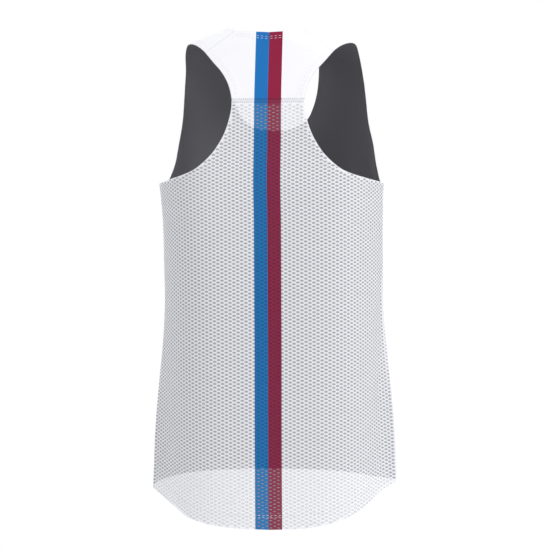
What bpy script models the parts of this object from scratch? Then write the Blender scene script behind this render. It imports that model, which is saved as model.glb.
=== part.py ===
# A worn running singlet with a racer back, kept as a hollow form with no wearer.
# Metres, +Z up. The wearer faces -Y and the wearer's left is +X.
# The origin lies between the shoulders, at the height of the straps' middle.
# Three cut pieces are walls of cloth on one torso form: the front, which wraps over
# both shoulders, the plain back yoke, and the mesh back below it with its drop tail.

import bmesh
import bpy
import math
import numpy as np

for item in list(bpy.data.objects):
    bpy.data.objects.remove(item, do_unlink=True)

mm = 0.001
wall = 1.4 * mm
seamGap = 0.3 * mm

# Cutting heights, measured from the origin
frontHem = -630 * mm
sideHem = -632 * mm
armholeBottom = -212 * mm
tailRowsTop = -235 * mm  # where the back's rows turn level, under the armholes
yokeSeam = -101 * mm
scoopBottom = -126.5 * mm
backNeck = -4 * mm

# The shoulder line, and the round cap that the cloth makes over it
neckHalfWidth = 62 * mm
neckHeight = 9.5 * mm
shoulderSlope = math.tan(math.radians(20))
capHeight = 40 * mm

# The torso form, a row for each height, sizes in millimetres. back and front are the
# depths from the side line, which lies at middle. A higher square makes a flatter
# panel with a quicker turn at its side. flare opens the sides out towards the hem,
# and lean moves the whole section sideways as the cloth hangs.
formColumns = ("height", "halfWidth", "back", "front", "middle", "backSquare", "frontSquare", "flare", "lean")
formRows = (
    (-720, 158.0, 75.0, 93, 0, 3.7, 3.0, 17.0, -2.5),
    (-632, 158.0, 78.0, 93, 0, 3.7, 3.0, 16.5, -2.5),
    (-560, 158.0, 80.5, 94, 0, 3.8, 2.9, 14.0, -2.7),
    (-500, 158.0, 83.0, 94, 0, 4.0, 2.9, 9.0, -3.0),
    (-445, 158.0, 85.5, 94, 0, 4.2, 2.8, 3.5, -3.2),
    (-390, 157.0, 87.0, 94, 1, 4.4, 2.8, 0.0, -3.0),
    (-320, 157.0, 87.5, 96, 3, 4.8, 2.8, 0.0, -2.5),
    (-265, 157.5, 85.5, 100, 6, 5.1, 2.8, 0.0, -1.7),
    (-212, 160.0, 81.0, 104, 9, 5.3, 2.8, 0.0, 0.0),
    (-150, 165.0, 71.0, 103, 11, 5.0, 2.7, 0.0, 0.0),
    (-100, 170.0, 65.0, 97, 12, 4.5, 2.6, 0.0, 0.0),
    (-50, 172.0, 55.0, 80, 11, 3.6, 2.6, 0.0, 0.0),
    (0, 172.0, 46, 58, 10, 3.0, 2.6, 0.0, 0.0),
    (40, 172.0, 42, 50, 10, 3.0, 2.6, 0.0, 0.0),
)
sideRound = 0.27  # how round the side of a section is, from 0 for a sharp one
sideReach = 53 * mm  # how far a section runs there for each unit across
flareStart = {1: 0.60, -1: 0.72}  # where each side's flare starts, 0 centre to 1 side
flareSize = {1: 0.93, -1: 1.10}  # each side's share of the table's flare

# The drop tail: how far the back hem hangs below the side seams, in millimetres, at
# places from the centre, 0, to the side, 1
tailColumns = ("across", "drop")
tailRows = ((0, 61.7), (0.18, 60.2), (0.36, 54.6), (0.50, 46.9), (0.60, 38.1), (0.71, 28), (0.80, 18.8),
            (0.90, 8.8), (1, 0))
tailSkew = {1: 0.045, -1: -0.03}  # how far each half of the tail hangs aside

# Cut edges as places across and up, in millimetres, from the lowest. The front's
# armholes hang a little differently on the wearer's left, 1, and right, -1.
frontArmhole = {
    1: ((151, -206), (145.5, -188), (139.5, -150), (133.5, -113), (131, -82), (128.5, -45), (127, -24)),
    -1: ((155, -206), (151.5, -188), (147, -150), (139, -113), (135, -82), (130, -45), (126, -24)),
}
frontScoop = ((22, -124), (37, -118), (48, -110), (56, -95), (62, -76), (65, -56), (66, -30))
backArmhole = ((134, -207.5), (116, -203), (101, -196.5), (91, -189), (82, -180.5), (75, -172.5),
               (69, -163.5), (60, -146.5), (54, -128.5), (50.5, -109.5))
yokeArmhole = ((51.6, -92.5), (57, -75), (67.5, -57.5), (78, -45.5))
strapTip = 120.5 * mm  # where the armhole edge passes over the shoulder line
seamInner = (48.5 * mm, 0.5 * mm)  # the shoulder seam's ends, behind the shoulder line
seamOuter = (89.3 * mm, -31.5 * mm)
neckMiddle = (26 * mm, -2 * mm)  # the back neckline, halfway to the seam
backCorner = 50.3 * mm  # half the racer back's least width, at the yoke seam

sideEdge = 1 - seamGap / 2 / sideReach  # where a panel ends at its side seam
seamShare = 0.7  # more than half the gap, because the shoulder seam runs aslant
seamShift = np.array([0, seamGap * seamShare])

# How finely the form is worked out
panelReach = 224 * mm  # about how far a panel runs from its centre to its side
acrossStep = 0.002  # steps that a normal is measured over
downStep = 0.2 * mm
samePlace = 0.001 * mm  # points closer than this are one

# Rows of each panel, counted so that both side seams share theirs
sideRows = 14
frontCentreRows = 5
frontEdgeRows = 17
backEdgeRows = 9
yokeRows = 8
frontColumns = 16
backColumns = 18
yokeColumns = 10

formTable = dict(zip(formColumns, np.array(formRows, float).T))
tailTable = dict(zip(tailColumns, np.array(tailRows, float).T))
plainColumns = ("backSquare", "frontSquare")


def smoothed(knots, values, at):
    """Values on a smooth curve through a table's rows."""
    slopes = np.gradient(values, knots)
    at = np.clip(at, knots[0], knots[-1])
    i = np.clip(np.searchsorted(knots, at) - 1, 0, len(knots) - 2)
    step = knots[i + 1] - knots[i]
    t = (at - knots[i]) / step
    rise = t * t * (3 - 2 * t)
    start = t * (1 - t) ** 2 * slopes[i] * step
    end = t * t * (t - 1) * slopes[i + 1] * step
    return values[i] + rise * (values[i + 1] - values[i]) + start + end


def column(name, z):
    """The form's value at a height."""
    values = formTable[name] * (1 if name in plainColumns else mm)
    return smoothed(formTable["height"] * mm, values, z)


def shoulderLine(x):
    return neckHeight - (np.abs(x) - neckHalfWidth) * shoulderSlope


def depth(x, z, onBack):
    """How far the cloth stands from the side line, behind it or before it."""
    square = np.where(onBack, column("backSquare", z), column("frontSquare", z))
    reach = np.where(onBack, column("back", z), column("front", z))
    room = np.clip(1 - np.abs(x / column("halfWidth", z)) ** square, 0, 1)
    return reach * np.sqrt(room * (room + sideRound) / (1 + sideRound))


def formPoint(across, down, isFront, side):
    """A point of the torso form. across runs from 0 at the centre to 1 at the side.
    down is the depth below the origin, carried on over the round of the shoulder."""
    z = -down
    for _ in range(4):  # width and height depend on each other, and soon settle
        x = column("halfWidth", z) * np.sin(across * math.pi / 2)
        turn = (down + shoulderLine(x)) / capHeight + math.pi / 2 - 1
        onCap = np.abs(turn) < math.pi / 2
        drop = np.where(onCap, 1 - np.cos(turn), 1 + np.abs(turn) - math.pi / 2) * capHeight
        z = shoulderLine(x) - drop
    reach = np.where(onCap, np.abs(np.sin(turn)), 1)
    onBack = turn < 0 if isFront else turn > 0
    y = column("middle", z) + np.where(onBack, 1, -1) * reach * depth(x, z, onBack)
    fin = np.clip((across - flareStart[side]) / (1 - flareStart[side]), 0, 1)
    x = x + flareSize[side] * column("flare", z) * (1 - np.cos(fin * math.pi)) / 2
    return np.stack([side * x + column("lean", z), y, z], axis=-1)


def clothPoint(across, down, isFront, side, depthInWall):
    """A point of the wall: on the form, or that far inside it along its normal."""
    outer = np.minimum(across + acrossStep, 1)
    inner = outer - 2 * acrossStep
    alongAcross = formPoint(outer, down, isFront, side) - formPoint(inner, down, isFront, side)
    below, above = down + downStep, down - downStep
    alongDown = formPoint(across, below, isFront, side) - formPoint(across, above, isFront, side)
    normal = np.cross(alongAcross, alongDown)
    normal /= np.linalg.norm(normal, axis=-1, keepdims=True)
    outward = side if isFront else -side
    return formPoint(across, down, isFront, side) + outward * depthInWall * normal


def onPattern(x, z, wrapped=False):
    """A place on the form as across and down. A wrapped one lies over the shoulder."""
    across = np.arcsin(np.clip(x / column("halfWidth", z), 0, 1)) * 2 / math.pi
    below = (shoulderLine(x) - z) / capHeight
    turn = np.where(below < 1, np.arccos(np.clip(1 - below, -1, 1)), below - 1 + math.pi / 2)
    turn = -turn if wrapped else turn
    return np.array([across, (turn - math.pi / 2 + 1) * capHeight - shoulderLine(x)])


def smoothEdge(points, count):
    """That many steps along a smooth curve through pattern places, evenly spaced."""
    points = np.array(points)
    scaled = points * [panelReach, 1]
    along = np.concatenate([[0], np.cumsum(np.hypot(*np.diff(scaled, axis=0).T))])
    even = np.linspace(0, along[-1], count + 1)
    return np.stack([smoothed(along, points[:, k], even) for k in (0, 1)], axis=-1)


def straightEdge(start, end, count):
    return np.linspace(start, end, count + 1)


def joined(*edges):
    return np.concatenate([edges[0]] + [edge[1:] for edge in edges[1:]])


def tailHem(across, side):
    """How far down the back hem lies: low at the centre, up to the side seam."""
    hung = across - tailSkew[side] * np.sin(across * math.pi)
    return -sideHem + smoothed(tailTable["across"], tailTable["drop"] * mm, hung)


def placesOf(points, wrapped=False):
    return [onPattern(x * mm, z * mm, wrapped) for x, z in points]


def filled(bottom, top, inner, outer):
    """A grid of pattern places between four edges, rows from the bottom up."""
    s = np.linspace(0, 1, len(bottom))[None, :, None]
    r = np.linspace(0, 1, len(inner))[:, None, None]
    between = (1 - s) * inner[:, None] + s * outer[:, None]
    ends = (1 - r) * bottom[None] + r * top[None]
    corners = ((1 - r) * ((1 - s) * bottom[0] + s * bottom[-1]) + r * ((1 - s) * top[0] + s * top[-1]))
    return between + ends - corners


def sideSeam():
    return straightEdge([sideEdge, -sideHem], [sideEdge, -armholeBottom], sideRows)


def shoulderSeam(count, wrapped):
    x = np.linspace(seamInner[0], seamOuter[0], count + 1)
    z = np.linspace(seamInner[1], seamOuter[1], count + 1)
    return onPattern(x, z, wrapped).T + seamShift


def frontPattern(side):
    overRidge = capHeight * (1 - math.pi / 2)
    neckPoint = np.array([onPattern(neckHalfWidth, 0)[0], overRidge - shoulderLine(neckHalfWidth)])
    tip = np.array([onPattern(strapTip, 0)[0], overRidge - shoulderLine(strapTip)])
    top = shoulderSeam(frontColumns, True)
    scoop = [[0, -scoopBottom], *placesOf(frontScoop), neckPoint, top[0]]
    armhole = [[sideEdge, -armholeBottom], *placesOf(frontArmhole[side]), tip, top[-1]]
    inner = joined(straightEdge([0, -frontHem], [0, -armholeBottom], sideRows),
                   straightEdge([0, -armholeBottom], [0, -scoopBottom], frontCentreRows),
                   smoothEdge(scoop, frontEdgeRows))
    outer = joined(sideSeam(), smoothEdge(armhole, frontCentreRows + frontEdgeRows))
    bottom = straightEdge(inner[0], outer[0], frontColumns)
    return filled(bottom, top, inner, outer)


def backPattern(side):
    across = np.linspace(0, sideEdge, backColumns + 1)
    bottom = np.stack([across, tailHem(across / sideEdge, side)], axis=-1)
    corner = onPattern(backCorner, yokeSeam) + [0, seamGap / 2]
    top = straightEdge([0, -yokeSeam + seamGap / 2], corner, backColumns)
    inner = joined(straightEdge(bottom[0], [0, -tailRowsTop], sideRows),
                   straightEdge([0, -tailRowsTop], top[0], backEdgeRows))
    armhole = [[sideEdge, -armholeBottom], *placesOf(backArmhole), corner]
    outer = joined(sideSeam(), smoothEdge(armhole, backEdgeRows))
    return filled(bottom, top, inner, outer)


def yokePattern(side):
    corner = onPattern(backCorner, yokeSeam) - [0, seamGap / 2]
    bottom = straightEdge([0, -yokeSeam - seamGap / 2], corner, yokeColumns)
    half = yokeColumns // 2
    seam = shoulderSeam(yokeColumns - half, False)
    neckline = smoothEdge([[0, -backNeck], onPattern(*neckMiddle), seam[0]], half)
    top = joined(neckline, seam)
    inner = straightEdge(bottom[0], top[0], yokeRows)
    outer = smoothEdge([corner, *placesOf(yokeArmhole), top[-1]], yokeRows)
    return filled(bottom, top, inner, outer)


collection = bpy.data.collections.new("running_singlet")
bpy.context.scene.collection.children.link(collection)


def material(name, colour, roughness):
    made = bpy.data.materials.new(name)
    made.use_nodes = True
    shader = made.node_tree.nodes["Principled BSDF"]
    shader.inputs["Base Color"].default_value = (*colour, 1)
    shader.inputs["Roughness"].default_value = roughness
    shader.inputs["Metallic"].default_value = 0
    return made


def halfPanel(pattern, isFront, side):
    """One half of a piece: a flat slab whose points are moved onto the torso form."""
    rows, columns = pattern.shape[0] - 1, pattern.shape[1] - 1
    bpy.ops.mesh.primitive_grid_add(x_subdivisions=columns, y_subdivisions=rows, size=2)
    slab = bpy.context.object
    shell = slab.modifiers.new("wall", "SOLIDIFY")
    shell.thickness = 1
    shell.offset = -1
    bpy.ops.object.modifier_apply(modifier=shell.name)
    flat = np.array([v.co for v in slab.data.vertices])
    acrossPlace = np.rint((flat[:, 0] + 1) / 2 * columns).astype(int)
    upPlace = np.rint((flat[:, 1] + 1) / 2 * rows).astype(int)
    across, down = pattern[upPlace, acrossPlace].T
    depthInWall = -flat[:, 2:] * wall
    placed = clothPoint(across, down, isFront, side, depthInWall)
    for vertex, place in zip(slab.data.vertices, placed):
        vertex.co = place
    mesh = bmesh.new()
    mesh.from_mesh(slab.data)
    mesh.verts.ensure_lookup_table()
    central = [across[v.index] < samePlace for v in mesh.verts]
    middleFaces = [face for face in mesh.faces if all(central[v.index] for v in face.verts)]
    bmesh.ops.delete(mesh, geom=middleFaces, context="FACES")
    mesh.to_mesh(slab.data)
    mesh.free()
    return slab


def clothPanel(name, pattern, isFront, finish):
    """A cut piece as one closed wall of cloth, from its two halves."""
    halves = [halfPanel(pattern(side), isFront, side) for side in (1, -1)]
    bpy.ops.object.select_all(action="DESELECT")
    for half in halves:
        half.select_set(True)
    bpy.context.view_layer.objects.active = halves[0]
    bpy.ops.object.join()
    panel = halves[0]
    mesh = bmesh.new()
    mesh.from_mesh(panel.data)
    bmesh.ops.remove_doubles(mesh, verts=mesh.verts, dist=samePlace)
    bmesh.ops.recalc_face_normals(mesh, faces=mesh.faces)
    mesh.to_mesh(panel.data)
    mesh.free()
    panel.name = panel.data.name = name
    panel.data.shade_smooth()
    panel.data.set_sharp_from_angle(angle=math.radians(40))
    panel.data.materials.append(finish)
    for owner in list(panel.users_collection):
        owner.objects.unlink(panel)
    collection.objects.link(panel)
    return panel


plainKnit = material("white plain knit polyester", (0.90, 0.90, 0.91), 0.75)
meshKnit = material("white open mesh knit polyester", (0.83, 0.83, 0.86), 0.7)

clothPanel("front", frontPattern, True, plainKnit)
clothPanel("back_yoke", yokePattern, False, plainKnit)
clothPanel("back_mesh", backPattern, False, meshKnit)
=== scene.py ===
# Looks of the running singlet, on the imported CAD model. Metres, +Z up, the wearer faces -Y
# and the wearer's left is +X. Each cloth piece is a thin shell on the form that its CAD
# solid has, so the form's sizes and functions are the same as the solid's.
import math
import bpy
import numpy as np
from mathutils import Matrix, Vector
from mathutils.geometry import delaunay_2d_cdt
from mathutils.kdtree import KDTree


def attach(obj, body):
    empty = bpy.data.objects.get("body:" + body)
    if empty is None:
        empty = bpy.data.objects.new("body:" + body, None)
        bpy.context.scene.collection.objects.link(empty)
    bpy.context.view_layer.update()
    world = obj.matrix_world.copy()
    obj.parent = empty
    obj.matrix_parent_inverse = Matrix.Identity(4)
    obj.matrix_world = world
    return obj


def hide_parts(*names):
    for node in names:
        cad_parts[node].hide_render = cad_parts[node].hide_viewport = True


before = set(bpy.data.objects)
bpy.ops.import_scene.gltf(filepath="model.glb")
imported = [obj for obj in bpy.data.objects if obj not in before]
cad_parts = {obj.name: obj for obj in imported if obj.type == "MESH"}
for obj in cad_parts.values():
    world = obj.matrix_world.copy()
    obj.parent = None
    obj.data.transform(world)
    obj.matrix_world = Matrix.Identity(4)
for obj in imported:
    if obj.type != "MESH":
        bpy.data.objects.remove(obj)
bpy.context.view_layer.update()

mm = 0.001
bpy.ops.object.select_all(action="DESELECT")


# Camera, at the photograph's angle: level, behind the garment and turned a little
camera = dict(
    distance=2100 * mm,  # from the garment's upright axis
    turn=3.7,  # degrees round from straight behind
    height=-356 * mm,
    lens=95.9,  # on the 36 mm sensor
    shift=(0.0071, 0.0172),
)


def makeCamera():
    turn = math.radians(camera["turn"])
    away = Vector((-math.sin(turn), math.cos(turn), 0))
    bpy.ops.object.camera_add(location=away * camera["distance"] + Vector((0, 0, camera["height"])))
    made = bpy.context.object
    made.rotation_euler = (-away).to_track_quat("-Z", "Y").to_euler()
    made.data.lens = camera["lens"]
    made.data.sensor_width = 36
    made.data.shift_x, made.data.shift_y = camera["shift"]
    bpy.context.scene.camera = made


makeCamera()
print("camera made")


# The torso form and the cut edges, as the CAD solids have them
yokeSeam = -101 * mm
frontHem = -630 * mm
sideHem = -632 * mm
armholeBottom = -212 * mm
scoopBottom = -126.5 * mm
backNeck = -4 * mm
neckHalfWidth = 62 * mm
neckHeight = 9.5 * mm
shoulderSlope = math.tan(math.radians(20))
capHeight = 40 * mm
formColumns = ("height", "halfWidth", "back", "front", "middle", "backSquare", "frontSquare", "flare",
               "lean")
formRows = (
    (-720, 158.0, 75.0, 93, 0, 3.7, 3.0, 17.0, -2.5),
    (-632, 158.0, 78.0, 93, 0, 3.7, 3.0, 16.5, -2.5),
    (-560, 158.0, 80.5, 94, 0, 3.8, 2.9, 14.0, -2.7),
    (-500, 158.0, 83.0, 94, 0, 4.0, 2.9, 9.0, -3.0),
    (-445, 158.0, 85.5, 94, 0, 4.2, 2.8, 3.5, -3.2),
    (-390, 157.0, 87.0, 94, 1, 4.4, 2.8, 0.0, -3.0),
    (-320, 157.0, 87.5, 96, 3, 4.8, 2.8, 0.0, -2.5),
    (-265, 157.5, 85.5, 100, 6, 5.1, 2.8, 0.0, -1.7),
    (-212, 160.0, 81.0, 104, 9, 5.3, 2.8, 0.0, 0.0),
    (-150, 165.0, 71.0, 103, 11, 5.0, 2.7, 0.0, 0.0),
    (-100, 170.0, 65.0, 97, 12, 4.5, 2.6, 0.0, 0.0),
    (-50, 172.0, 55.0, 80, 11, 3.6, 2.6, 0.0, 0.0),
    (0, 172.0, 46, 58, 10, 3.0, 2.6, 0.0, 0.0),
    (40, 172.0, 42, 50, 10, 3.0, 2.6, 0.0, 0.0),
)
sideRound = 0.27  # how round the side of a section is
flareStart = {1: 0.60, -1: 0.72}  # on the wearer's left, 1, and right, -1
flareSize = {1: 0.93, -1: 1.10}
# The tail's drop below the side hem, at places across
tailRows = ((0, 61.7), (0.18, 60.2), (0.36, 54.6), (0.50, 46.9), (0.60, 38.1), (0.71, 28), (0.80, 18.8),
            (0.90, 8.8), (1, 0))
tailSkew = {1: 0.045, -1: -0.03}
frontArmhole = {
    1: ((151, -206), (145.5, -188), (139.5, -150), (133.5, -113), (131, -82), (128.5, -45), (127, -24)),
    -1: ((155, -206), (151.5, -188), (147, -150), (139, -113), (135, -82), (130, -45), (126, -24)),
}
frontScoop = ((22, -124), (37, -118), (48, -110), (56, -95), (62, -76), (65, -56), (66, -30))
backArmhole = ((134, -207.5), (116, -203), (101, -196.5), (91, -189), (82, -180.5), (75, -172.5),
               (69, -163.5), (60, -146.5), (54, -128.5), (50.5, -109.5))
yokeArmhole = ((51.6, -92.5), (57, -75), (67.5, -57.5), (78, -45.5))
strapTip = 120.5 * mm
seamInner = (48.5 * mm, 0.5 * mm)  # the shoulder seam's ends
seamOuter = (89.3 * mm, -31.5 * mm)
neckMiddle = (26 * mm, -2 * mm)
backCorner = 50.3 * mm  # half the racer back's least width
panelReach = 224 * mm  # about how far a panel runs from its centre to its side
acrossStep = 0.002  # steps that a normal is measured over
downStep = 0.2 * mm
formTable = dict(zip(formColumns, np.array(formRows, float).T))
tailAcross, tailDrop = np.array(tailRows).T
plainColumns = ("backSquare", "frontSquare")


def smoothed(knots, values, at):
    slopes = np.gradient(values, knots)
    at = np.clip(at, knots[0], knots[-1])
    i = np.clip(np.searchsorted(knots, at) - 1, 0, len(knots) - 2)
    step = knots[i + 1] - knots[i]
    t = (at - knots[i]) / step
    rise = t * t * (3 - 2 * t)
    start = t * (1 - t) ** 2 * slopes[i] * step
    end = t * t * (t - 1) * slopes[i + 1] * step
    return values[i] + rise * (values[i + 1] - values[i]) + start + end


def column(name, z):
    values = formTable[name] * (1 if name in plainColumns else mm)
    return smoothed(formTable["height"] * mm, values, z)


def shoulderLine(x):
    return neckHeight - (np.abs(x) - neckHalfWidth) * shoulderSlope


def depth(x, z, onBack):
    square = np.where(onBack, column("backSquare", z), column("frontSquare", z))
    reach = np.where(onBack, column("back", z), column("front", z))
    room = np.clip(1 - np.abs(x / column("halfWidth", z)) ** square, 0, 1)
    return reach * np.sqrt(room * (room + sideRound) / (1 + sideRound))


def formPoint(across, down, isFront, side):
    z = -down
    for _ in range(4):  # width and height depend on each other, and soon settle
        x = column("halfWidth", z) * np.sin(across * math.pi / 2)
        turn = (down + shoulderLine(x)) / capHeight + math.pi / 2 - 1
        onCap = np.abs(turn) < math.pi / 2
        drop = np.where(onCap, 1 - np.cos(turn), 1 + np.abs(turn) - math.pi / 2) * capHeight
        z = shoulderLine(x) - drop
    reach = np.where(onCap, np.abs(np.sin(turn)), 1)
    onBack = turn < 0 if isFront else turn > 0
    y = column("middle", z) + np.where(onBack, 1, -1) * reach * depth(x, z, onBack)
    start, size = [np.where(side > 0, by[1], by[-1]) for by in (flareStart, flareSize)]
    fin = np.clip((across - start) / (1 - start), 0, 1)
    x = x + size * column("flare", z) * (1 - np.cos(fin * math.pi)) / 2
    return np.stack([side * x + column("lean", z), y, z], axis=-1)


def unit(vectors):
    return vectors / np.linalg.norm(vectors, axis=-1, keepdims=True)


def formNormal(across, down, isFront, side):
    outer = np.minimum(across + acrossStep, 1)
    inner = outer - 2 * acrossStep
    alongAcross = formPoint(outer, down, isFront, side) - formPoint(inner, down, isFront, side)
    below, above = down + downStep, down - downStep
    alongDown = formPoint(across, below, isFront, side) - formPoint(across, above, isFront, side)
    return unit(np.cross(alongAcross, alongDown) * np.reshape(-side if isFront else side, (-1, 1)))


def onPattern(x, z, wrapped=False):
    across = np.arcsin(np.clip(x / column("halfWidth", z), 0, 1)) * 2 / math.pi
    below = (shoulderLine(x) - z) / capHeight
    turn = np.where(below < 1, np.arccos(np.clip(1 - below, -1, 1)), below - 1 + math.pi / 2)
    turn = -turn if wrapped else turn
    return np.array([across, (turn - math.pi / 2 + 1) * capHeight - shoulderLine(x)])


def lengthAlong(points):
    return np.concatenate([[0], np.cumsum(np.hypot(*np.diff(points, axis=0).T))])


def smoothEdge(points, count):
    points = np.array(points)
    along = lengthAlong(points * [panelReach, 1])
    even = np.linspace(0, along[-1], count + 1)
    return np.stack([smoothed(along, points[:, k], even) for k in (0, 1)], axis=-1)


def straightEdge(start, end, count):
    return np.linspace(start, end, count + 1)


def joined(*edges):
    return np.concatenate([edges[0]] + [edge[1:] for edge in edges[1:]])


# The left side seam hangs a little lower than the right one, and takes both hems with it
sideSag = {1: 14 * mm, -1: 1 * mm}
sagStart = 0.62  # where it starts, from 0 at the centre to 1 at the side


def sagOf(across, side):
    return sideSag[side] * np.clip((across - sagStart) / (1 - sagStart), 0, 1) ** 1.5


def tailHem(across, side):
    hung = across - tailSkew[side] * np.sin(across * math.pi)
    return -sideHem + smoothed(tailAcross, tailDrop * mm, hung) + sagOf(across, side)


def frontHemEdge(side):
    across = np.linspace(0, 1, 81)
    level = -frontHem + (frontHem - sideHem) * across
    return np.stack([across, level + sagOf(across, side)], axis=-1)


def placesOf(points, wrapped=False):
    return [onPattern(x * mm, z * mm, wrapped) for x, z in points]


# Creases, as lines down a panel where the cloth sinks in, below 0, or stands out. Places
# across run from 0 at the centre to 1 at the side, and the rest is in millimetres.
creaseColumns = ("isFront", "side", "acrossTop", "acrossBottom", "top", "bottom", "halfWidth", "rise")
creaseRows = (
    (0, 1, 0.990, 0.920, -316, -760, 8, -1.3),
    (0, 1, 0.589, 0.484, -120, -760, 42, 2.3),
    (0, 1, 0.828, 0.782, -405, -760, 24, -4.5),
    (0, 1, 0.900, 0.895, -428, -760, 14, -1.8),
    (0, -1, 0.887, 0.938, -266, -760, 20, -4.3),
    (0, -1, 0.683, 0.786, -247, -760, 35, -3.0),
    (0, -1, 0.811, 0.859, -374, -760, 14, -3.9),
    (1, -1, 0.660, 0.700, -230, -700, 20, -3.4),
    (1, 1, 0.620, 0.680, -260, -720, 22, -3.0),
    (1, -1, 0.330, 0.420, -330, -720, 26, -2.2),
    (1, 1, 0.250, 0.330, -390, -740, 28, -2.0),
    (1, 1, 0.860, 0.840, -330, -740, 16, 2.2),
    (1, -1, 0.880, 0.860, -300, -700, 15, 1.8),
    (1, -1, 0.050, 0.110, -450, -720, 24, -1.3),
    (1, 1, 0.510, 0.500, 75, -65, 22, -2.2),
    (1, -1, 0.510, 0.500, 75, -65, 22, -2.4),
    (1, 1, 0.560, 0.700, 10, -260, 15, -2.8),
    (1, -1, 0.600, 0.720, 10, -240, 14, -3.2),
    (1, 1, 0.440, 0.600, -20, -300, 18, 2.0),
    (1, -1, 0.470, 0.560, -20, -280, 16, 2.4),
)
creases = [dict(zip(creaseColumns, row)) for row in creaseRows]
seamHold = 0.07  # how far from the side seam, which holds the cloth, a crease fades out


def creaseLift(across, down, isFront, side):
    lift = np.zeros(np.shape(across))
    for crease in creases:
        if bool(crease["isFront"]) != isFront:
            continue
        along = (-down / mm - crease["top"]) / (crease["bottom"] - crease["top"])
        inside = np.clip(along, 0, 1)
        middle = crease["acrossTop"] + (crease["acrossBottom"] - crease["acrossTop"]) * inside
        off = (across - middle) * panelReach / mm / crease["halfWidth"]
        fade = np.sin(inside * math.pi) ** 0.8  # from nothing at its top to nothing at its foot
        lift += np.where(side == crease["side"], crease["rise"] * mm * fade * np.exp(-off ** 2), 0)
    toSeam = np.clip((1 - across) / seamHold, 0, 1)
    return lift * toSeam * (2 - toSeam)


# Arc length round the form from the centre line at each height, and back from it, so that
# a flat pattern lies on the form at its true size
arcHeights = np.linspace(-720 * mm, 84 * mm, 202)
arcPlaces = np.linspace(0, 1, 161)
arcLengths = np.linspace(0, 270 * mm, 271)


def arcTables(isFront, side):
    across, height = np.meshgrid(arcPlaces, arcHeights)
    points = formPoint(across, -height, isFront, side)
    steps = np.linalg.norm(np.diff(points, axis=1), axis=-1)
    lengths = np.concatenate([np.zeros((len(arcHeights), 1)), np.cumsum(steps, axis=1)], axis=1)
    places = np.array([np.interp(arcLengths, row, arcPlaces) for row in lengths])
    return dict(length=lengths, place=places)


arcTable = {(isFront, side): arcTables(isFront, side) for isFront in (True, False) for side in (1, -1)}

# How far aside of the form's centre line the back's cloth hangs, towards the wearer's left,
# at heights
hangRows = ((-720, 1.3), (-600, 2.0), (-510, 2.4), (-400, 2.5), (-295, 2.0), (-185, 0.6), (-94, 0.45),
            (-50, 0.0), (0, -0.65), (84, -0.65))
hangHeights, hangShifts = np.array(hangRows).T


def hang(height, isFront):
    return 0 if isFront else smoothed(hangHeights * mm, hangShifts * mm, height)


def looked(table, columns, height, at):
    r = np.clip((height - arcHeights[0]) / (arcHeights[1] - arcHeights[0]), 0, len(arcHeights) - 1.001)
    c = np.clip((at - columns[0]) / (columns[1] - columns[0]), 0, len(columns) - 1.001)
    i, j = r.astype(int), c.astype(int)
    r, c = r - i, c - j
    low = table[i, j] * (1 - c) + table[i, j + 1] * c
    high = table[i + 1, j] * (1 - c) + table[i + 1, j + 1] * c
    return low * (1 - r) + high * r


def fromFlat(flat, isFront):
    length, height = flat[:, 0] + hang(flat[:, 1], isFront), flat[:, 1]
    side = np.where(length < 0, -1, 1)
    left, right = [looked(arcTable[isFront, half]["place"], arcLengths, height, np.abs(length))
                   for half in (1, -1)]
    return np.where(side > 0, left, right), -height, side


def toFlat(edge, isFront, side):
    across, down = edge.T
    length = side * looked(arcTable[isFront, side]["length"], arcPlaces, -down, across)
    return np.stack([length - hang(-down, isFront), -down], axis=-1)


# The edges of each panel's half, in the order that goes round it
def shoulderSeam(count, wrapped):
    x = np.linspace(seamInner[0], seamOuter[0], count + 1)
    z = np.linspace(seamInner[1], seamOuter[1], count + 1)
    return onPattern(x, z, wrapped).T


def frontEdges(side):
    overRidge = capHeight * (1 - math.pi / 2)
    neckPoint = [onPattern(neckHalfWidth, 0)[0], overRidge - shoulderLine(neckHalfWidth)]
    tip = [onPattern(strapTip, 0)[0], overRidge - shoulderLine(strapTip)]
    top = shoulderSeam(80, True)
    hem = frontHemEdge(side)
    seam = straightEdge(hem[-1], [1, -armholeBottom], 140)
    return dict(
        hem=hem,
        seam=seam,
        armhole=smoothEdge([seam[-1], *placesOf(frontArmhole[side]), tip, top[-1]], 220),
        top=top[::-1],
        neckline=smoothEdge([[0, -scoopBottom], *placesOf(frontScoop), neckPoint, top[0]], 170)[::-1],
    )


def yokeEdges(side):
    corner = onPattern(backCorner, yokeSeam)
    seam = shoulderSeam(30, False)
    return dict(
        bottom=straightEdge([0, -yokeSeam], corner, 60),
        armhole=smoothEdge([corner, *placesOf(yokeArmhole), seam[-1]], 60),
        top=seam[::-1],
        neckline=smoothEdge([[0, -backNeck], onPattern(*neckMiddle), seam[0]], 30)[::-1],
    )


def backEdges(side):
    across = np.linspace(0, 1, 121)
    corner = onPattern(backCorner, yokeSeam)
    hem = np.stack([across, tailHem(across, side)], axis=-1)
    seam = straightEdge(hem[-1], [1, -armholeBottom], 210)
    return dict(
        hem=hem,
        seam=seam,
        armhole=smoothEdge([seam[-1], *placesOf(backArmhole), corner], 110),
        top=straightEdge(corner, [0, -yokeSeam], 26),
    )


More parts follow.
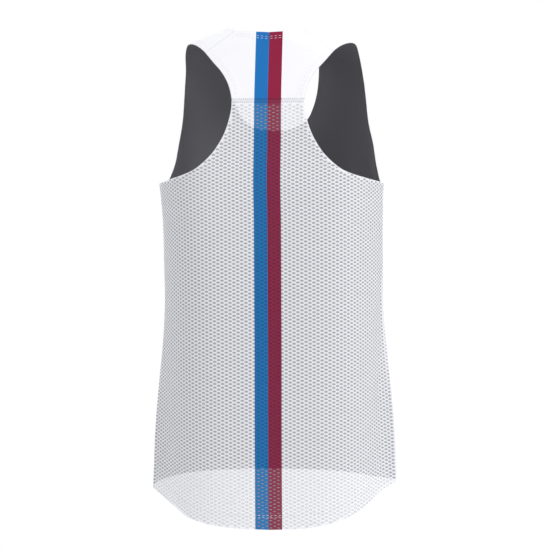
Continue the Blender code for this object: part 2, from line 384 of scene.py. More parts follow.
# What edges and seams do to the cloth beside them. Rows of stitches lie this far inside.
edgeRows = (6.1 * mm, 9.2 * mm)
hemRows = (16.5 * mm, 19.6 * mm)
panels = dict(
    front=dict(isFront=True, edges=frontEdges, seams=dict(seam=(0.9, 2.2), top=(0.55, 0.8)),
               turned=dict(armhole=edgeRows, neckline=edgeRows, hem=hemRows)),
    yoke=dict(isFront=False, edges=yokeEdges, seams=dict(bottom=(0.5, 1.2), top=(0.55, 0.8)),
              turned=dict(armhole=edgeRows, neckline=edgeRows)),
    back=dict(isFront=False, edges=backEdges, seams=dict(seam=(0.9, 2.2), top=(0.5, 1.2)),
              turned=dict(armhole=edgeRows, hem=hemRows)),
)
turnedEdge = dict(
    rise=0.40 * mm,  # the cloth lies double there
    soft=0.5 * mm,
    beyond=1.6 * mm,  # how far past its last row of stitches it reaches
    rowDip=0.32 * mm,  # stitches pull the cloth in
    rowWidth=0.9 * mm,
    fall=0.35 * mm,  # the edge itself is rounded off
    fallReach=0.4 * mm,
)


def finderOf(edge, isFront, side):
    steps = [np.linspace(a, b, 5)[:-1] for a, b in zip(edge, edge[1:])]  # four to each of the edge's
    edge = np.concatenate([*steps, edge[-1:]])
    return formPoint(edge[:, 0], edge[:, 1], isFront, side)


def addLines(panel):
    panel["lines"] = []
    sides = [(side, panel["edges"](side)) for side in (1, -1)]
    for name, shape in [*panel["seams"].items(), *panel["turned"].items()]:
        points = np.concatenate([finderOf(edges[name], panel["isFront"], side) for side, edges in sides])
        finder = KDTree(len(points))
        for i, point in enumerate(points):
            finder.insert(point, i)
        finder.balance()
        panel["lines"].append((name in panel["turned"], finder, shape))
    left, right = [toFlat(joined(*edges.values()), panel["isFront"], side) for side, edges in sides]
    panel["loop"] = np.concatenate([left, right[::-1][1:-1]])


def edgeLift(points, panel):
    lift, turned = np.zeros(len(points)), turnedEdge
    for isTurned, finder, shape in panel["lines"]:
        away = np.array([finder.find(point)[2] for point in points])
        if not isTurned:
            lift -= shape[0] * mm * np.exp(-(away / mm / shape[1]) ** 2)
            continue
        past = np.clip((away - shape[-1] - turned["beyond"]) / turned["soft"], -30, 30)  # exp can take it
        lift += turned["rise"] / (1 + np.exp(past)) - turned["fall"] * np.exp(-away / turned["fallReach"])
        for row in shape:
            lift -= turned["rowDip"] * np.exp(-((away - row) / turned["rowWidth"]) ** 2)
    return lift


def clothOf(across, down, side, panel):
    isFront = panel["isFront"]
    level = formPoint(across, down, isFront, side)
    lift = creaseLift(across, down, isFront, side) + edgeLift(level, panel)
    normal = formNormal(across, down, isFront, side)
    return level + normal * lift[:, None], normal


for panel in panels.values():
    addLines(panel)


# Shells are built from outward faces, their points and their places on the flat panel
sharpFrom = 52  # degrees between two faces
uvChart = dict(margin=0.01, width=0.48, height=0.98, innerFrom=0.51)


def boundaryOf(faces, count):
    start, end = faces.T.ravel(), np.roll(faces, -1, axis=1).T.ravel()
    lone = ~np.isin(start * count + end, end * count + start)
    return start[lone], end[lone]


def meshFrom(name, points, faceSets, uvSets, slots, place, materials):
    data = bpy.data.meshes.new(name)
    sizes = np.concatenate([np.full(len(f), f.shape[1]) for f in faceSets])
    loops = np.concatenate([f.ravel() for f in faceSets])
    data.vertices.add(len(points))
    data.vertices.foreach_set("co", points.ravel())
    data.loops.add(len(loops))
    data.loops.foreach_set("vertex_index", loops)
    data.polygons.add(len(sizes))
    data.polygons.foreach_set("loop_start", np.cumsum(sizes) - sizes)
    data.update(calc_edges=True)
    slotOfFace = np.concatenate([np.full(len(f), slot) for f, slot in zip(faceSets, slots)])
    data.polygons.foreach_set("material_index", slotOfFace)
    layer = data.uv_layers.new(name="OFBake")
    layer.data.foreach_set("uv", np.concatenate([uv.reshape(-1, 2) for uv in uvSets]).ravel())
    cloth = data.attributes.new("cloth", "FLOAT_VECTOR", "POINT")
    cloth.data.foreach_set("vector", place.ravel())
    for material in materials:
        data.materials.append(material)
    data.validate()
    data.shade_smooth()
    data.set_sharp_from_angle(angle=math.radians(sharpFrom))
    made = bpy.data.objects.new(name, data)
    bpy.context.scene.collection.objects.link(made)
    return made


def chartOf(place, box, isInner):
    # outer faces fill the left half of the UV map and inner faces the right
    low, high = box
    scaled = (place[:, :2] - low) / (high - low)
    left = uvChart["innerFrom"] if isInner else uvChart["margin"]
    return np.stack([scaled[:, 0] * uvChart["width"] + left,
                     scaled[:, 1] * uvChart["height"] + uvChart["margin"]], axis=-1)


print("form ready")


# Finishes
def linear(hexColour):
    parts = [int(hexColour[i:i + 2], 16) / 255 for i in (1, 3, 5)]
    return (*[c / 12.92 if c <= 0.04045 else ((c + 0.055) / 1.055) ** 2.4 for c in parts], 1)


def addNode(tree, kind, settings=None, links=None):
    node = tree.nodes.new("ShaderNode" + kind)
    for name, value in (settings or {}).items():
        if isinstance(name, int) or name in node.inputs:
            node.inputs[name].default_value = value
        else:
            setattr(node, name, value)
    for socket, source in (links or {}).items():
        tree.links.new(source, node.inputs[socket])
    return node


def startMaterial(name, **settings):
    made = bpy.data.materials.new(name)
    made.use_nodes = True
    tree = made.node_tree
    shader = tree.nodes["Principled BSDF"]
    for socket, value in settings.items():
        shader.inputs[socket.replace("_", " ")].default_value = value
    return made, tree, shader


stripes = dict(
    width=18.6 * mm,  # of each one
    plain=("#146DB5", "#89163B"),  # blue and maroon, as each cloth takes them
    mesh=("#1A70B1", "#872245"),
    # the seam thread's print, darker than the cloth's by painted shade
    thread=("#0F4F86", "#651230"),
    yarnSheer=0.10,  # how sheer the mesh is where it is printed, as a share of the plain mesh
    eyeletSheer=0.34,
)


def stripeColours(tree, ground, blue, maroon):
    # blue on the wearer's left of the centre line and maroon on the right
    place = addNode(tree, "Attribute", {"attribute_name": "cloth"})
    across = addNode(tree, "SeparateXYZ", links={0: place.outputs["Vector"]})
    # the ramp is four stripes wide, with the centre line in its middle
    scaled = addNode(tree, "Math", {"operation": "MULTIPLY_ADD", 1: 0.25 / stripes["width"], 2: 0.5},
                     {0: across.outputs["X"]})
    ramp = addNode(tree, "ValToRGB", links={0: scaled.outputs[0]})
    ramp.color_ramp.interpolation = "CONSTANT"
    stops = ramp.color_ramp.elements
    stops[0].position, stops[0].color = 0, linear(ground)
    stops[1].position, stops[1].color = 0.25, (*linear(maroon)[:3], stripes["yarnSheer"])
    stops.new(0.5).color = (*linear(blue)[:3], stripes["yarnSheer"])
    stops.new(0.75).color = linear(ground)
    return place, ramp


eyeletLook = dict(
    shade=0.685,  # painted shade: what is left of the colour deep in an eyelet, standing in for the shade there
    fullFrom=0.12,  # the attribute's third number at which all of that painted shade is there
    outer=(0.15, 0.37),  # how much each face lets show of what is behind, in the yarn and in an eyelet
    inner=(0.67, 0.69),
    printShade=0.9,  # the painted shade at which a printed eyelet lets its most show
)


def makeSheer(made, face):
    # open yarn lets what is behind it show, more so where it is thin and less where it is printed
    tree = made.node_tree
    printed, shade = tree.nodes["Color Ramp"], tree.nodes["Painted shade"]
    low, high = eyeletLook[face]
    share = addNode(tree, "MapRange", {"From Min": 1.0, "From Max": eyeletLook["shade"], "To Min": low,
                                       "To Max": high}, {"Value": shade.outputs[0]})
    if face == "outer":
        inPrint = {"From Min": 1.0, "From Max": eyeletLook["printShade"], "To Min": stripes["yarnSheer"],
                   "To Max": stripes["eyeletSheer"]}
        ofPrint = addNode(tree, "MapRange", inPrint, {"Value": shade.outputs[0]})
        least = addNode(tree, "Math", {"operation": "MAXIMUM"},
                        {0: printed.outputs["Alpha"], 1: ofPrint.outputs[0]})
        share = addNode(tree, "Math", {"operation": "MULTIPLY"}, {0: share.outputs[0], 1: least.outputs[0]})
    yarn, clear = tree.nodes["Principled BSDF"], addNode(tree, "BsdfTransparent")
    mixed = addNode(tree, "MixShader", links={0: share.outputs[0], 1: yarn.outputs[0], 2: clear.outputs[0]})
    tree.links.new(mixed.outputs[0], tree.nodes["Material Output"].inputs["Surface"])


def knitBump(tree, shader, place, loops):
    waves = [addNode(tree, "TexWave", {"bands_direction": way, "Scale": waveScale / loops[size],
                                       "Distortion": 0.4, "Detail": 1.0, "Detail Scale": 2.0},
                     {"Vector": place.outputs["Vector"]}) for way, size in (("X", "wale"), ("Y", "course"))]
    both = addNode(tree, "Math", {"operation": "MULTIPLY"},
                   {0: waves[0].outputs["Fac"], 1: waves[1].outputs["Fac"]})
    bump = addNode(tree, "Bump", {"Strength": 0.5, "Distance": loops["height"]},
                   {"Height": both.outputs[0]})
    tree.links.new(bump.outputs["Normal"], shader.inputs["Normal"])


def knitMaterial(name, ground, printed, loops, **settings):
    made, tree, shader = startMaterial(name, **settings)
    place, ramp = stripeColours(tree, ground, *(printed or (ground, ground)))
    # the attribute's third number scales the colour down: painted shade deep in the eyelets and along edges
    # and seams
    depth = addNode(tree, "SeparateXYZ", links={0: place.outputs["Vector"]})
    paintedShadeRange = {"interpolation_type": "SMOOTHSTEP", "From Max": eyeletLook["fullFrom"], "To Min": 1.0,
                "To Max": eyeletLook["shade"]}
    shade = addNode(tree, "MapRange", paintedShadeRange, {"Value": depth.outputs["Z"]})
    shade.name = "Painted shade"
    shaded = addNode(tree, "VectorMath", {"operation": "SCALE"},
                     {0: ramp.outputs["Color"], "Scale": shade.outputs[0]})
    tree.links.new(shaded.outputs[0], shader.inputs["Base Color"])
    knitBump(tree, shader, place, loops)
    return made


# Loops of the knits, across, up and out. The real ones are 0.5 to 0.7 mm, too fine to show,
# so they are drawn about twice as coarse.
waveScale = 0.314  # a wave texture's scale for one wave to the metre
interlockLoops = dict(wale=1.5 * mm, course=1.2 * mm, height=0.12 * mm)
meshLoops = dict(wale=0.9 * mm, course=1.3 * mm, height=0.1 * mm)
threadPly = dict(wale=0.5 * mm, course=0.5 * mm, height=0.05 * mm)

# Interlock polyester, knitted fine and heat set: matt, with a faint sheen
smoothYarn = dict(Roughness=0.72, Specular_IOR_Level=0.2, Sheen_Weight=0.03, Sheen_Roughness=0.5)
whiteKnit = knitMaterial("interlock_polyester_white", "#EFEFF3", None, interlockLoops, **smoothYarn)
printedKnit = knitMaterial("interlock_polyester_printed", "#EFEFF3", stripes["plain"], interlockLoops,
                           **smoothYarn)
# The plain pieces' inner faces are coloured a dark grey, rougher, with no sheen
innerKnit = knitMaterial("interlock_polyester_grey_inside", "#636367", None, interlockLoops, Roughness=0.85,
                         Specular_IOR_Level=0.2)
# Warp-knitted eyelet mesh, sublimation printed: as matt, and partly seen through
meshKnit, meshInside = [
    knitMaterial(name, "#F2F3F8", stripes["mesh"], meshLoops, **smoothYarn)
    for name in ("eyelet_mesh_polyester_printed", "eyelet_mesh_polyester_inside")]
makeSheer(meshKnit, "outer")
makeSheer(meshInside, "inner")
# Spun polyester sewing thread: glossier than the knit, white, with a light grey of painted shade; in the
# seam between the yoke and the mesh it is printed over, and its grey and darker print there are painted
# shade too
thread, _, threadShader = startMaterial("polyester_thread_white_painted_shade", Roughness=0.55, Sheen_Weight=0.2)
threadShader.inputs["Base Color"].default_value = linear("#DCDCE2")
# its grey ground and its print, darker than the cloth's, are painted shade of the ticks sunk in the seam;
# the print itself is real
seamThread = knitMaterial("polyester_thread_overprinted_painted_shade", "#C6C6CE", stripes["thread"], threadPly,
                          Roughness=0.6)
print("finishes made")


# The mesh back: one outline and thousands of eyelets, triangulated flat and laid on the form
meshBack = dict(
    thickness=0.65 * mm,
    holePitch=10.99 * mm,  # from eyelet to eyelet in a row
    rowPitch=2.5445 * mm,  # rows are staggered by half a pitch
    firstRow=-108.29 * mm,  # the highest row of eyelets, clear of the seam's stitches
    rowsAbove=4,  # that would fit between it and the yoke seam
    holeHalfWidth=1.8 * mm,  # the opening itself, deep in the eyelet
    holeUp=0.12 * mm,  # a slit only, as the rest of what shows through is in the material
    holeDown=0.10 * mm,
    rimAside=1.15 * mm,  # the yarn sinks towards it over this
    rimUp=1.60 * mm,
    rimDown=1.73 * mm,
    rimDepth=0.45 * mm,
    edgeMargin=0.35 * mm,  # eyelets at an edge shrink to stay this far inside it
    edgeSizes=(1, 0.85, 0.7, 0.55, 0.4),
    edgeStep=2.0 * mm,
    edgeCorner=25,  # degrees, past which a turn in the outline is kept as a corner
    fieldEdge=5.5,  # the middle field's half width, in pitches
    fieldWind=1.1 * mm,  # its edges wind this far to either side, between the eyelets
    wallChart=0.75,  # the share of its opening that an eyelet's wall fills on the UV map
)


def loopArea(loop):
    x, y = loop.T
    return 0.5 * (x * np.roll(y, -1) - np.roll(x, -1) * y).sum()


def flatSize(loop):
    return tuple(float(size) for size in loop.max(axis=0) - loop.min(axis=0))


def rowHeight(row):
    return meshBack["firstRow"] - row * meshBack["rowPitch"]


def windOf(height):
    # how far aside the cut between two fields lies at a height
    row = (meshBack["firstRow"] - height) / meshBack["rowPitch"]
    return meshBack["fieldWind"] * (2 * np.abs(np.mod(row, 2) - 1) - 1)


def evenLoop(loop):
    # the outline in even steps, with its corners kept
    closed = np.concatenate([loop, loop[:1]])
    along = lengthAlong(closed)
    headings = np.arctan2(*np.diff(np.concatenate([loop[-1:], closed]), axis=0).T[::-1])
    turns = np.abs((np.diff(headings) + math.pi) % (2 * math.pi) - math.pi)
    corners = np.flatnonzero(turns > math.radians(meshBack["edgeCorner"]))
    corners = [0, *corners[corners > 0], len(loop)]
    places = []
    for a, b in zip(corners, corners[1:]):
        count = max(1, round((along[b] - along[a]) / meshBack["edgeStep"]))
        places.append(np.linspace(along[a], along[b], count + 1)[:-1])
    places = np.concatenate(places)
    return np.stack([np.interp(places, along, closed[:, k]) for k in (0, 1)], axis=-1)


def insideOf(points, loop):
    x, y = points[:, :1], points[:, 1:]
    a, b = loop, np.roll(loop, -1, axis=0)
    crosses = (a[:, 1] > y) != (b[:, 1] > y)
    with np.errstate(divide="ignore", invalid="ignore"):
        at = a[:, 0] + (y - a[:, 1]) * (b[:, 0] - a[:, 0]) / (b[:, 1] - a[:, 1])
    return (crosses & (x < at)).sum(axis=1) % 2 == 1


def clearOf(points, loop):
    # how far each point is from the outline
    a, b = loop, np.roll(loop, -1, axis=0)
    step = b - a
    t = ((points[:, None] - a) * step).sum(-1) / (step ** 2).sum(-1)
    near = a + np.clip(t, 0, 1)[..., None] * step
    return np.linalg.norm(points[:, None] - near, axis=-1).min(axis=1)


def eyeletRing(share):
    # an eye shape with an arched top and a rounder bottom, at its rim where share is 1
    w = meshBack["holeHalfWidth"] + share * meshBack["rimAside"]
    up = meshBack["holeUp"] + share * meshBack["rimUp"]
    down = meshBack["holeDown"] + share * meshBack["rimDown"]
    top = [(w * x, up * y) for x, y in ((0.70, 0.55), (0, 1), (-0.70, 0.55))]
    bottom = [(w * x, -down * y) for x, y in ((-0.70, 0.80), (0, 1), (0.70, 0.80))]
    return np.array([(w, 0), *top, (-w, 0), *bottom])


eyeletPaintedShade = np.array([1, 1, 1, 1, 1, 0.4, 0.4, 0.4])  # painted shade at each of the ring's points, darkest under the top, where light from above leaves the rim in shade


def eyeletCentres(loop):
    low, high = loop.min(axis=0), loop.max(axis=0)
    pitch = meshBack["holePitch"]
    first, last = math.floor(low[0] / pitch), math.ceil(high[0] / pitch)
    centres = []
    row = 0
    while rowHeight(row) > low[1]:
        phase = 0.25 if row % 2 == 0 else 0.75
        centres += [((i + phase) * pitch, rowHeight(row)) for i in range(first, last)]
        row += 1
    centres = np.array(centres)
    centres = centres[insideOf(centres, loop)]
    nearEdge = clearOf(centres, loop) < pitch / 2
    sizes = np.ones(len(centres))
    close, size = centres[nearEdge], np.zeros(nearEdge.sum())
    for share in meshBack["edgeSizes"]:
        ring = eyeletRing(1) * share
        room = np.min([clearOf(close + point, loop) for point in ring], axis=0)
        inside = np.all([insideOf(close + point, loop) for point in ring], axis=0)
        size = np.where((size == 0) & inside & (room > meshBack["edgeMargin"]), share, size)
    sizes[nearEdge] = size
    return centres[sizes > 0], sizes[sizes > 0]


def makeMeshBack():
    panel = panels["back"]
    loop = evenLoop(panel["loop"])
    centres, sizes = eyeletCentres(loop)
    n = len(eyeletPaintedShade)
    rims, holes = [(centres[:, None] + eyeletRing(share) * sizes[:, None, None]).reshape(-1, 2)
                   for share in (1, 0)]
    # the cuts between the three fields, with a point for each row
    cutAt = meshBack["fieldEdge"] * meshBack["holePitch"]
    rowCount = math.ceil((meshBack["firstRow"] - loop[:, 1].min()) / meshBack["rowPitch"]) + 2
    heights = rowHeight(np.arange(-meshBack["rowsAbove"], rowCount))
    cuts = np.array([(at + windOf(height), height) for at in (cutAt, -cutAt) for height in heights])
    flat = np.concatenate([loop, rims, cuts])
    faces = [list(range(len(loop)))]
    faces += [list(range(len(loop) + k * n, len(loop) + (k + 1) * n)) for k in range(len(centres))]
    last = len(loop) + len(rims)
    edges = [(last + i, last + i + 1) for i in range(len(cuts) - 1) if i != len(heights) - 1]
    found = delaunay_2d_cdt([Vector(point) for point in flat], edges, faces, 1, 1e-7)
    points, sources = np.array([tuple(point) for point in found[0]]), found[3]
    triangles = np.array([face for face, owners in zip(found[2], found[5]) if list(owners) == [0]])[:, ::-1]
    # which eyelet point each one is, if any
    eyelet = np.full(len(points), -1)
    for i, source in enumerate(sources):
        for s in source:
            if len(loop) <= s < last:
                eyelet[i] = s - len(loop)
    isRing = eyelet >= 0
    inner = points.copy()
    inner[isRing] = holes[eyelet[isRing]]
    outside, normal = clothOf(*fromFlat(points, False), panel)
    inside, innerNormal = clothOf(*fromFlat(inner, False), panel)
    middle = inside - innerNormal * meshBack["rimDepth"]
    inside = inside - innerNormal * meshBack["thickness"]
    centre, height = points[triangles].mean(axis=1).T
    centre = centre - windOf(height)
    beyond = 1  # metres, wider than any panel
    made = []
    for name, low, high in (("mesh_back_left", cutAt, beyond), ("mesh_back_centre", -cutAt, cutAt),
                            ("mesh_back_right", -beyond, -cutAt)):
        used, some = np.unique(triangles[(centre > low) & (centre <= high)], return_inverse=True)
        some = some.reshape(-1, 3)
        count = len(used)
        start, end = boundaryOf(some, count)
        ringHere = isRing[used]
        atRing = ringHere[start] & ringHere[end]
        a, b = start[atRing], end[atRing]
        c, d = start[~atRing], end[~atRing]
        rim = np.stack([b, a, a + 2 * count, b + 2 * count], axis=-1)
        wall = np.stack([b + 2 * count, a + 2 * count, a + count, b + count], axis=-1)
        edge = np.stack([d, c, c + count, d + count], axis=-1)
        place = np.concatenate([points[used], inner[used], inner[used]])
        # the third number is the painted shade in an eyelet, most so under its top
        deep = np.where(ringHere, eyeletPaintedShade[eyelet[used] % n], 0)
        place = np.concatenate([place, np.concatenate([0 * deep, deep, deep])[:, None]], axis=-1)
        box = (points[used].min(axis=0) - 2 * mm, points[used].max(axis=0) + 2 * mm)
        outerChart, innerChart = chartOf(place, box, False), chartOf(place, box, True)
        # the eyelet's wall is charted inside its own opening
        deepPlace = place.copy()
        owner = centres[np.clip(eyelet[used], 0, None) // n]
        deepPlace[count:2 * count, :2] = owner + meshBack["wallChart"] * (inner[used] - owner)
        deepChart = chartOf(deepPlace, box, False)
        faceSets = [some, some[:, ::-1] + count, rim, wall, edge]
        uvSets = [outerChart[some], innerChart[faceSets[1]], outerChart[rim], deepChart[wall],
                  outerChart[edge]]
        shell = np.concatenate([outside[used], inside[used], middle[used]])
        piece = meshFrom(name, shell, faceSets, uvSets, (0, 1, 0, 0, 0), place, (meshKnit, meshInside))
        # the field's cut, with its eyelets as part of the cloth
        field = np.clip(panel["loop"], (low, -beyond), (high, beyond))
        made.append((piece, flatSize(points[used]), abs(loopArea(field))))
        triangleCount = sum(len(f) * (f.shape[1] - 2) for f in faceSets)
        print(name, "triangles", triangleCount, "flat", made[-1][1:])
    return made


meshPieces = makeMeshBack()
print("mesh back made")


# Plain pieces: a grid between four edges, closer together near them, as two halves
plainWall = dict(
    thickness=0.75 * mm,
    closeSteps=(0, 0.35, 0.8, 1.6, 2.6, 3.8, 4.8, 5.5, 6.1, 6.7, 7.6, 8.6, 9.2, 9.8, 10.6, 11.6, 13, 15,
                16.5, 18, 19.6, 21.5, 24),  # the grid's lines near an edge, in millimetres from it
    wideStep=5.5,  # and about how far apart the others are
    frontHalf=(700 * mm, 224 * mm),  # length and width that a half's lines are shared out on
    yokeHalf=(98 * mm, 60 * mm),
    paintedLineShade=0.06,  # painted shade: the attribute's third number at an edge or seam
    lineReach=0.9 * mm,
)


def filled(bottom, top, inner, outer):
    # a grid of places between four edges, rows from the bottom up
    s = np.linspace(0, 1, len(bottom))[None, :, None]
    r = np.linspace(0, 1, len(inner))[:, None, None]
    between = (1 - s) * inner[:, None] + s * outer[:, None]
    ends = (1 - r) * bottom[None] + r * top[None]
    corners = ((1 - r) * ((1 - s) * bottom[0] + s * bottom[-1]) + r * ((1 - s) * top[0] + s * top[-1]))
    return between + ends - corners


def placesAlong(length):
    # the grid's lines from one edge to the other, as shares of the way
    near = [step for step in plainWall["closeSteps"] if step < length / mm / 2]
    room = length / mm - 2 * near[-1]
    count = max(1, round(room / plainWall["wideStep"]))
    middle = np.linspace(near[-1], length / mm - near[-1], count + 1)
    places = np.concatenate([near[:-1], middle, [length / mm - step for step in near[-2::-1]]])
    return places / places[-1]


def resampled(grid, rows, columns):
    def along(values, places):
        at = places * (len(values) - 1)
        i = np.clip(at.astype(int), 0, len(values) - 2)
        t = (at - i).reshape(-1, *[1] * (values.ndim - 1))
        return values[i] * (1 - t) + values[i + 1] * t
    return along(along(grid, rows).transpose(1, 0, 2), columns).transpose(1, 0, 2)


def frontPattern(side):
    edges = frontEdges(side)
    centre = joined(straightEdge([0, -frontHem], [0, -armholeBottom], 140),
                    straightEdge([0, -armholeBottom], [0, -scoopBottom], 50))
    return filled(edges["hem"], edges["top"][::-1], joined(centre, edges["neckline"][::-1]),
                  joined(edges["seam"], edges["armhole"]))


def yokePattern(side):
    edges = yokeEdges(side)
    centre = straightEdge([0, -yokeSeam], [0, -backNeck], 60)
    return filled(edges["bottom"], joined(edges["neckline"][::-1], edges["top"][::-1]), centre,
                  edges["armhole"])


def paintedLineShade(points, panel):
    # painted shade along edges and seams: the third number of the attribute, 0 in open cloth
    shade = np.zeros(len(points))
    for isTurned, finder, shape in panel["lines"]:
        if not isTurned and shape == panel["seams"].get("bottom"):
            continue  # the yoke's seam with the mesh has its own grey stitches
        away = np.array([finder.find(point)[2] for point in points])
        shade = np.maximum(shade, plainWall["paintedLineShade"] * np.exp(-(away / plainWall["lineReach"]) ** 2))
    return shade


def makePlain(name, pattern, panel, lengths, materials):
    isFront = panel["isFront"]
    rows, columns = [placesAlong(length) for length in lengths]
    halves, faces, sides = [], [], []
    for side in (1, -1):
        grid = resampled(pattern(side), rows, columns)
        shape = grid.shape[:2]
        numbers = np.arange(shape[0] * shape[1]).reshape(shape)
        fresh = np.ones(shape, bool)
        if side == -1:
            fresh[:, 0] = grid[:, 0, 0] > 1e-6  # the halves share their centre line
            numbers = np.where(fresh, np.cumsum(fresh.ravel()).reshape(shape) - 1 + len(halves[0]), numbers)
        halves.append(grid[fresh])
        sides.append(np.full(len(halves[-1]), side))
        quads = np.stack([numbers[:-1, :-1], numbers[1:, :-1], numbers[1:, 1:], numbers[:-1, 1:]], axis=-1)
        faces.append(quads.reshape(-1, 4)[:, ::1 if (side == 1) != isFront else -1])
    flat, side, faces = np.concatenate(halves), np.concatenate(sides), np.concatenate(faces)
    outside, normal = clothOf(flat[:, 0], flat[:, 1], side, panel)
    inside = outside - normal * plainWall["thickness"]
    count = len(flat)
    start, end = boundaryOf(faces, count)
    edge = np.stack([end, start, start + count, end + count], axis=-1)
    place = np.zeros((count, 3))
    for half in (1, -1):
        place[side == half, :2] = toFlat(flat[side == half], isFront, half)
    place[:, 2] = paintedLineShade(formPoint(flat[:, 0], flat[:, 1], isFront, side), panel)
    place = np.concatenate([place, place])
    box = (place.min(axis=0)[:2] - 2 * mm, place.max(axis=0)[:2] + 2 * mm)
    outerChart, innerChart = chartOf(place, box, False), chartOf(place, box, True)
    faceSets = [faces, faces[:, ::-1] + count, edge]
    uvSets = [outerChart[faces], innerChart[faceSets[1]], outerChart[edge]]
    made = meshFrom(name, np.concatenate([outside, inside]), faceSets, uvSets, (0, 1, 0), place, materials)
    print(name, "triangles", sum(len(f) * (f.shape[1] - 2) for f in faceSets))
    return made


front = makePlain("front_panel", frontPattern, panels["front"], plainWall["frontHalf"],
                  (whiteKnit, innerKnit))
yoke = makePlain("yoke_panel", yokePattern, panels["yoke"], plainWall["yokeHalf"],
                 (printedKnit, innerKnit))
print("plain pieces made")


# Sewing: every stitch is a small bar of thread, thinner at its ends and sunk into the cloth there
stitch = dict(
    pitch=5.95 * mm,
    length=3.9 * mm,
    width=0.48 * mm,
    rise=0.26 * mm,
    sunk=0.22 * mm,
    clear=0.75,  # it keeps this share of its row's distance from every edge
)
seamTick = dict(
    pitch=2.6 * mm,
    width=1.15 * mm,
    rise=0.38 * mm,
    sunk=0.2 * mm,
    upper=(0.4 * mm, 2.8 * mm),  # from and to, above the seam
    lower=(-3.9 * mm, -0.5 * mm),
    lowerShift=0.5,  # of a pitch
    endGap=0.5 * mm,
)
barStations = ((0, 0.35, -0.5), (0.2, 1, 1), (0.8, 1, 1), (1, 0.35, -0.5))  # place, width, height
barShoulder = 0.4  # a bar's height at its two sides, as a share of the middle's
barChart = dict(cells=3, filled=0.9, sides=5, cap=1.05)  # cells for each bar, and what it fills of one


def makeBars(name, starts, ends, panel, shape, material):
    stations = np.array(barStations)
    flat = starts[:, None] + (ends - starts)[:, None] * stations[None, :, :1]
    count, n = len(starts), len(stations)
    on, normal = clothOf(*fromFlat(flat.reshape(-1, 2), panel["isFront"]), panel)
    on, normal = on.reshape(count, n, 3), normal.reshape(count, n, 3)
    along = np.broadcast_to(on[:, -1:] - on[:, :1], on.shape)
    aside = unit(np.cross(along, normal)) * shape["width"] / 2 * stations[None, :, 1:2]
    height = np.maximum(stations[:, 2], -shape["sunk"] / shape["rise"]) * shape["rise"]
    height = normal * height[None, :, None]
    base = on - normal * shape["sunk"]
    corners = np.stack([on + aside + height * barShoulder, on + height,
                        on - aside + height * barShoulder, base], axis=2)
    first = np.arange(count)[:, None, None] * n * 4
    ring = first + np.arange(n - 1)[None, :, None] * 4
    k = np.arange(4)[None, None]
    sides = np.stack([ring + k, ring + 4 + k, ring + 4 + (k + 1) % 4, ring + (k + 1) % 4], axis=-1)
    sides = sides.reshape(-1, 4)
    start = first[:, 0] + np.arange(4)
    caps = np.concatenate([start, start[:, ::-1] + (n - 1) * 4])
    # each bar is charted in a cell of its own
    wide = math.ceil(math.sqrt(count * barChart["cells"]))
    cell = np.stack([np.arange(count) % wide, np.arange(count) // wide], axis=-1) / wide
    u = np.arange(5) / barChart["sides"] * barChart["filled"] / wide
    v = stations[:, 0] * barChart["filled"] / wide
    sideUv = np.zeros((count, n - 1, 4, 4, 2))
    for j in range(n - 1):
        for i in range(4):
            face = np.array([(u[i], v[j]), (u[i], v[j + 1]), (u[i + 1], v[j + 1]), (u[i + 1], v[j])])
            sideUv[:, j, i] = cell[:, None] + face
    right = u[4] * barChart["cap"]
    capUv = cell[:, None] + np.array([(u[4], v[0]), (right, v[0]), (right, v[1]), (u[4], v[1])])
    uvSets = [sideUv.reshape(-1, 4, 2), np.concatenate([capUv, capUv])]
    place = np.repeat(np.concatenate([flat, np.zeros((count, n, 1))], axis=-1)[:, :, None], 4, axis=2)
    made = meshFrom(name, corners.reshape(-1, 3), [sides, caps], uvSets, (0, 0), place.reshape(-1, 3),
                    (material,))
    print(name, "bars", count)
    return made


def rowsOf(panel):
    # where each stitch of a panel starts and ends, on the flat
    starts, ends = [], []
    for name, rows in panel["turned"].items():
        for side in (1, -1):
            edge = toFlat(panel["edges"](side)[name], panel["isFront"], side)
            way = unit(np.gradient(edge, axis=0))
            inward = side * np.stack([-way[:, 1], way[:, 0]], axis=-1)
            for row in rows:
                path = edge + inward * row
                if name == "neckline":
                    path = path[::-1]  # so that both halves start on the centre line, as at the hem
                length = lengthAlong(path)
                gap = stitch["pitch"] - stitch["length"]
                first = np.arange(gap / 2, length[-1] - stitch["length"], stitch["pitch"])
                a, b = [np.stack([np.interp(at, length, path[:, k]) for k in (0, 1)], axis=-1)
                        for at in (first, first + stitch["length"])]
                middle = (a + b) / 2
                kept = insideOf(middle, panel["loop"])
                kept[kept] = clearOf(middle[kept], panel["loop"]) > stitch["clear"] * row
                starts.append(a[kept])
                ends.append(b[kept])
    return np.concatenate(starts), np.concatenate(ends)


def makeSeamTicks():
    yokeLoop = panels["yoke"]["loop"]
    atSeam = np.abs(yokeLoop[:, 1] - yokeSeam) < 0.1 * mm
    half = np.abs(yokeLoop[atSeam, 0]).max()
    at = np.arange(-half + 2 * seamTick["endGap"], half - seamTick["endGap"], seamTick["pitch"])
    made = []
    rows = (("yoke_seam_upper", panels["yoke"], seamTick["upper"], 0),
            ("yoke_seam_lower", panels["back"], seamTick["lower"], seamTick["lowerShift"]))
    for name, panel, (low, high), shift in rows:
        x = at + shift * seamTick["pitch"]
        x = x[x < half - seamTick["endGap"]]
        starts, ends = [np.stack([x, np.full(len(x), yokeSeam + z)], axis=-1) for z in (low, high)]
        made.append(makeBars(name, starts, ends, panel, seamTick, seamThread))
    return made


stitches = {name: makeBars(f"{name}_stitches", *rowsOf(panel), panel, stitch, thread)
            for name, panel in panels.items()}
ticks = makeSeamTicks()
print("sewing made")


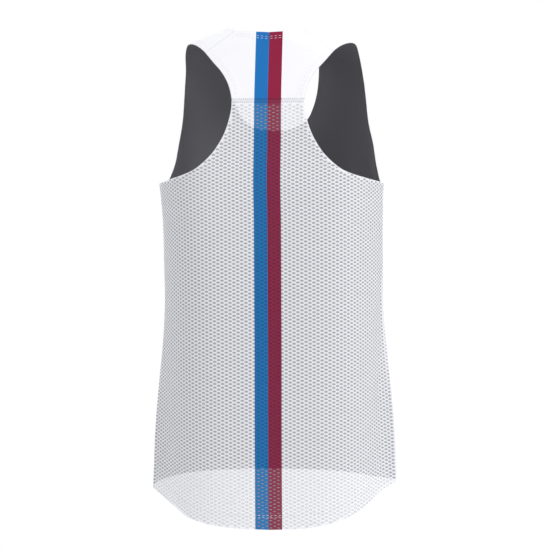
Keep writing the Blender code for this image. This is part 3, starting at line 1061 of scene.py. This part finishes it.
# Floor, light and surroundings
studio = dict(
    floorHeight=-1.5,
    floorRadius=3.5,
    behind=1.0,  # the white backdrop past the garment's front
    low=0.30,  # what the rest of the room gives from below, and from above
    high=0.92,
    aim=(0, 0, -0.35),
    lamps=(("key_right", (-2.6, 1.5, 0.9), 1.8, 38),  # place, size in metres and watts
           ("high_behind", (0.6, 2.5, 2.2), 1.4, 27),
           ("front_light", (0.5, -2.6, 1.2), 2.2, 12),
           ("low_front", (1.9, -1.9, -0.8), 1.4, 8)),
)


def makeStage():
    bpy.ops.mesh.primitive_circle_add(vertices=96, radius=studio["floorRadius"], fill_type="NGON",
                                      location=(0, 0, studio["floorHeight"]))
    floor = bpy.context.object
    floor.name = "studio_floor"
    paint, tree, shader = startMaterial("floor_pale_paint", Roughness=0.9)
    shader.inputs["Base Color"].default_value = linear("#E4E4E6")
    floor.data.materials.append(paint)
    world = bpy.data.worlds.new("white_studio")
    world.use_nodes = True
    tree = world.node_tree
    way = addNode(tree, "SeparateXYZ", links={0: addNode(tree, "TexCoord").outputs["Generated"]})
    behind = addNode(tree, "MapRange", {"interpolation_type": "SMOOTHSTEP", "From Min": 0.1,
                                        "From Max": -0.5}, {"Value": way.outputs["Y"]})
    room = addNode(tree, "MapRange", {"From Min": -0.6, "From Max": 0.8, "To Min": studio["low"],
                                      "To Max": studio["high"]}, {"Value": way.outputs["Z"]})
    both = addNode(tree, "Mix", {"data_type": "FLOAT", "B": studio["behind"]},
                   {"Factor": behind.outputs[0], "A": room.outputs[0]})
    background = tree.nodes["Background"]
    background.inputs["Color"].default_value = (1, 1, 1, 1)
    tree.links.new(both.outputs[0], background.inputs["Strength"])
    bpy.context.scene.world = world
    for name, place, size, power in studio["lamps"]:
        bpy.ops.object.light_add(type="AREA", location=place)
        lamp = bpy.context.object
        lamp.name = name
        lamp.data.size = size
        lamp.data.energy = power
        aim = Vector(studio["aim"]) - Vector(place)
        lamp.rotation_euler = aim.to_track_quat("-Z", "Y").to_euler()
    bpy.context.scene.view_settings.view_transform = "Standard"


makeStage()
print("stage made")


# Each piece hangs from the root body, the CAD solids that the pieces replace are hidden, and the front's
# and yoke's flat sizes are printed
for piece in (*[made[0] for made in meshPieces], front, yoke, *stitches.values(), *ticks):
    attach(piece, "root")
for piece, size, area in meshPieces:
    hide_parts("back_mesh")
    goesWith = [stitches["back"], ticks[1]] if piece.name == "mesh_back_centre" else []
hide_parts("front")
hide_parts("back_yoke")
for piece, name, restsOn, goesWith in ((front, "front", ["yoke_panel"], [stitches["front"]]),
                                       (yoke, "yoke", ["front_panel"], [stitches["yoke"], ticks[0]])):
    size, area = flatSize(panels[name]["loop"]), abs(loopArea(panels[name]["loop"]))
    print(piece.name, "flat", size, area)
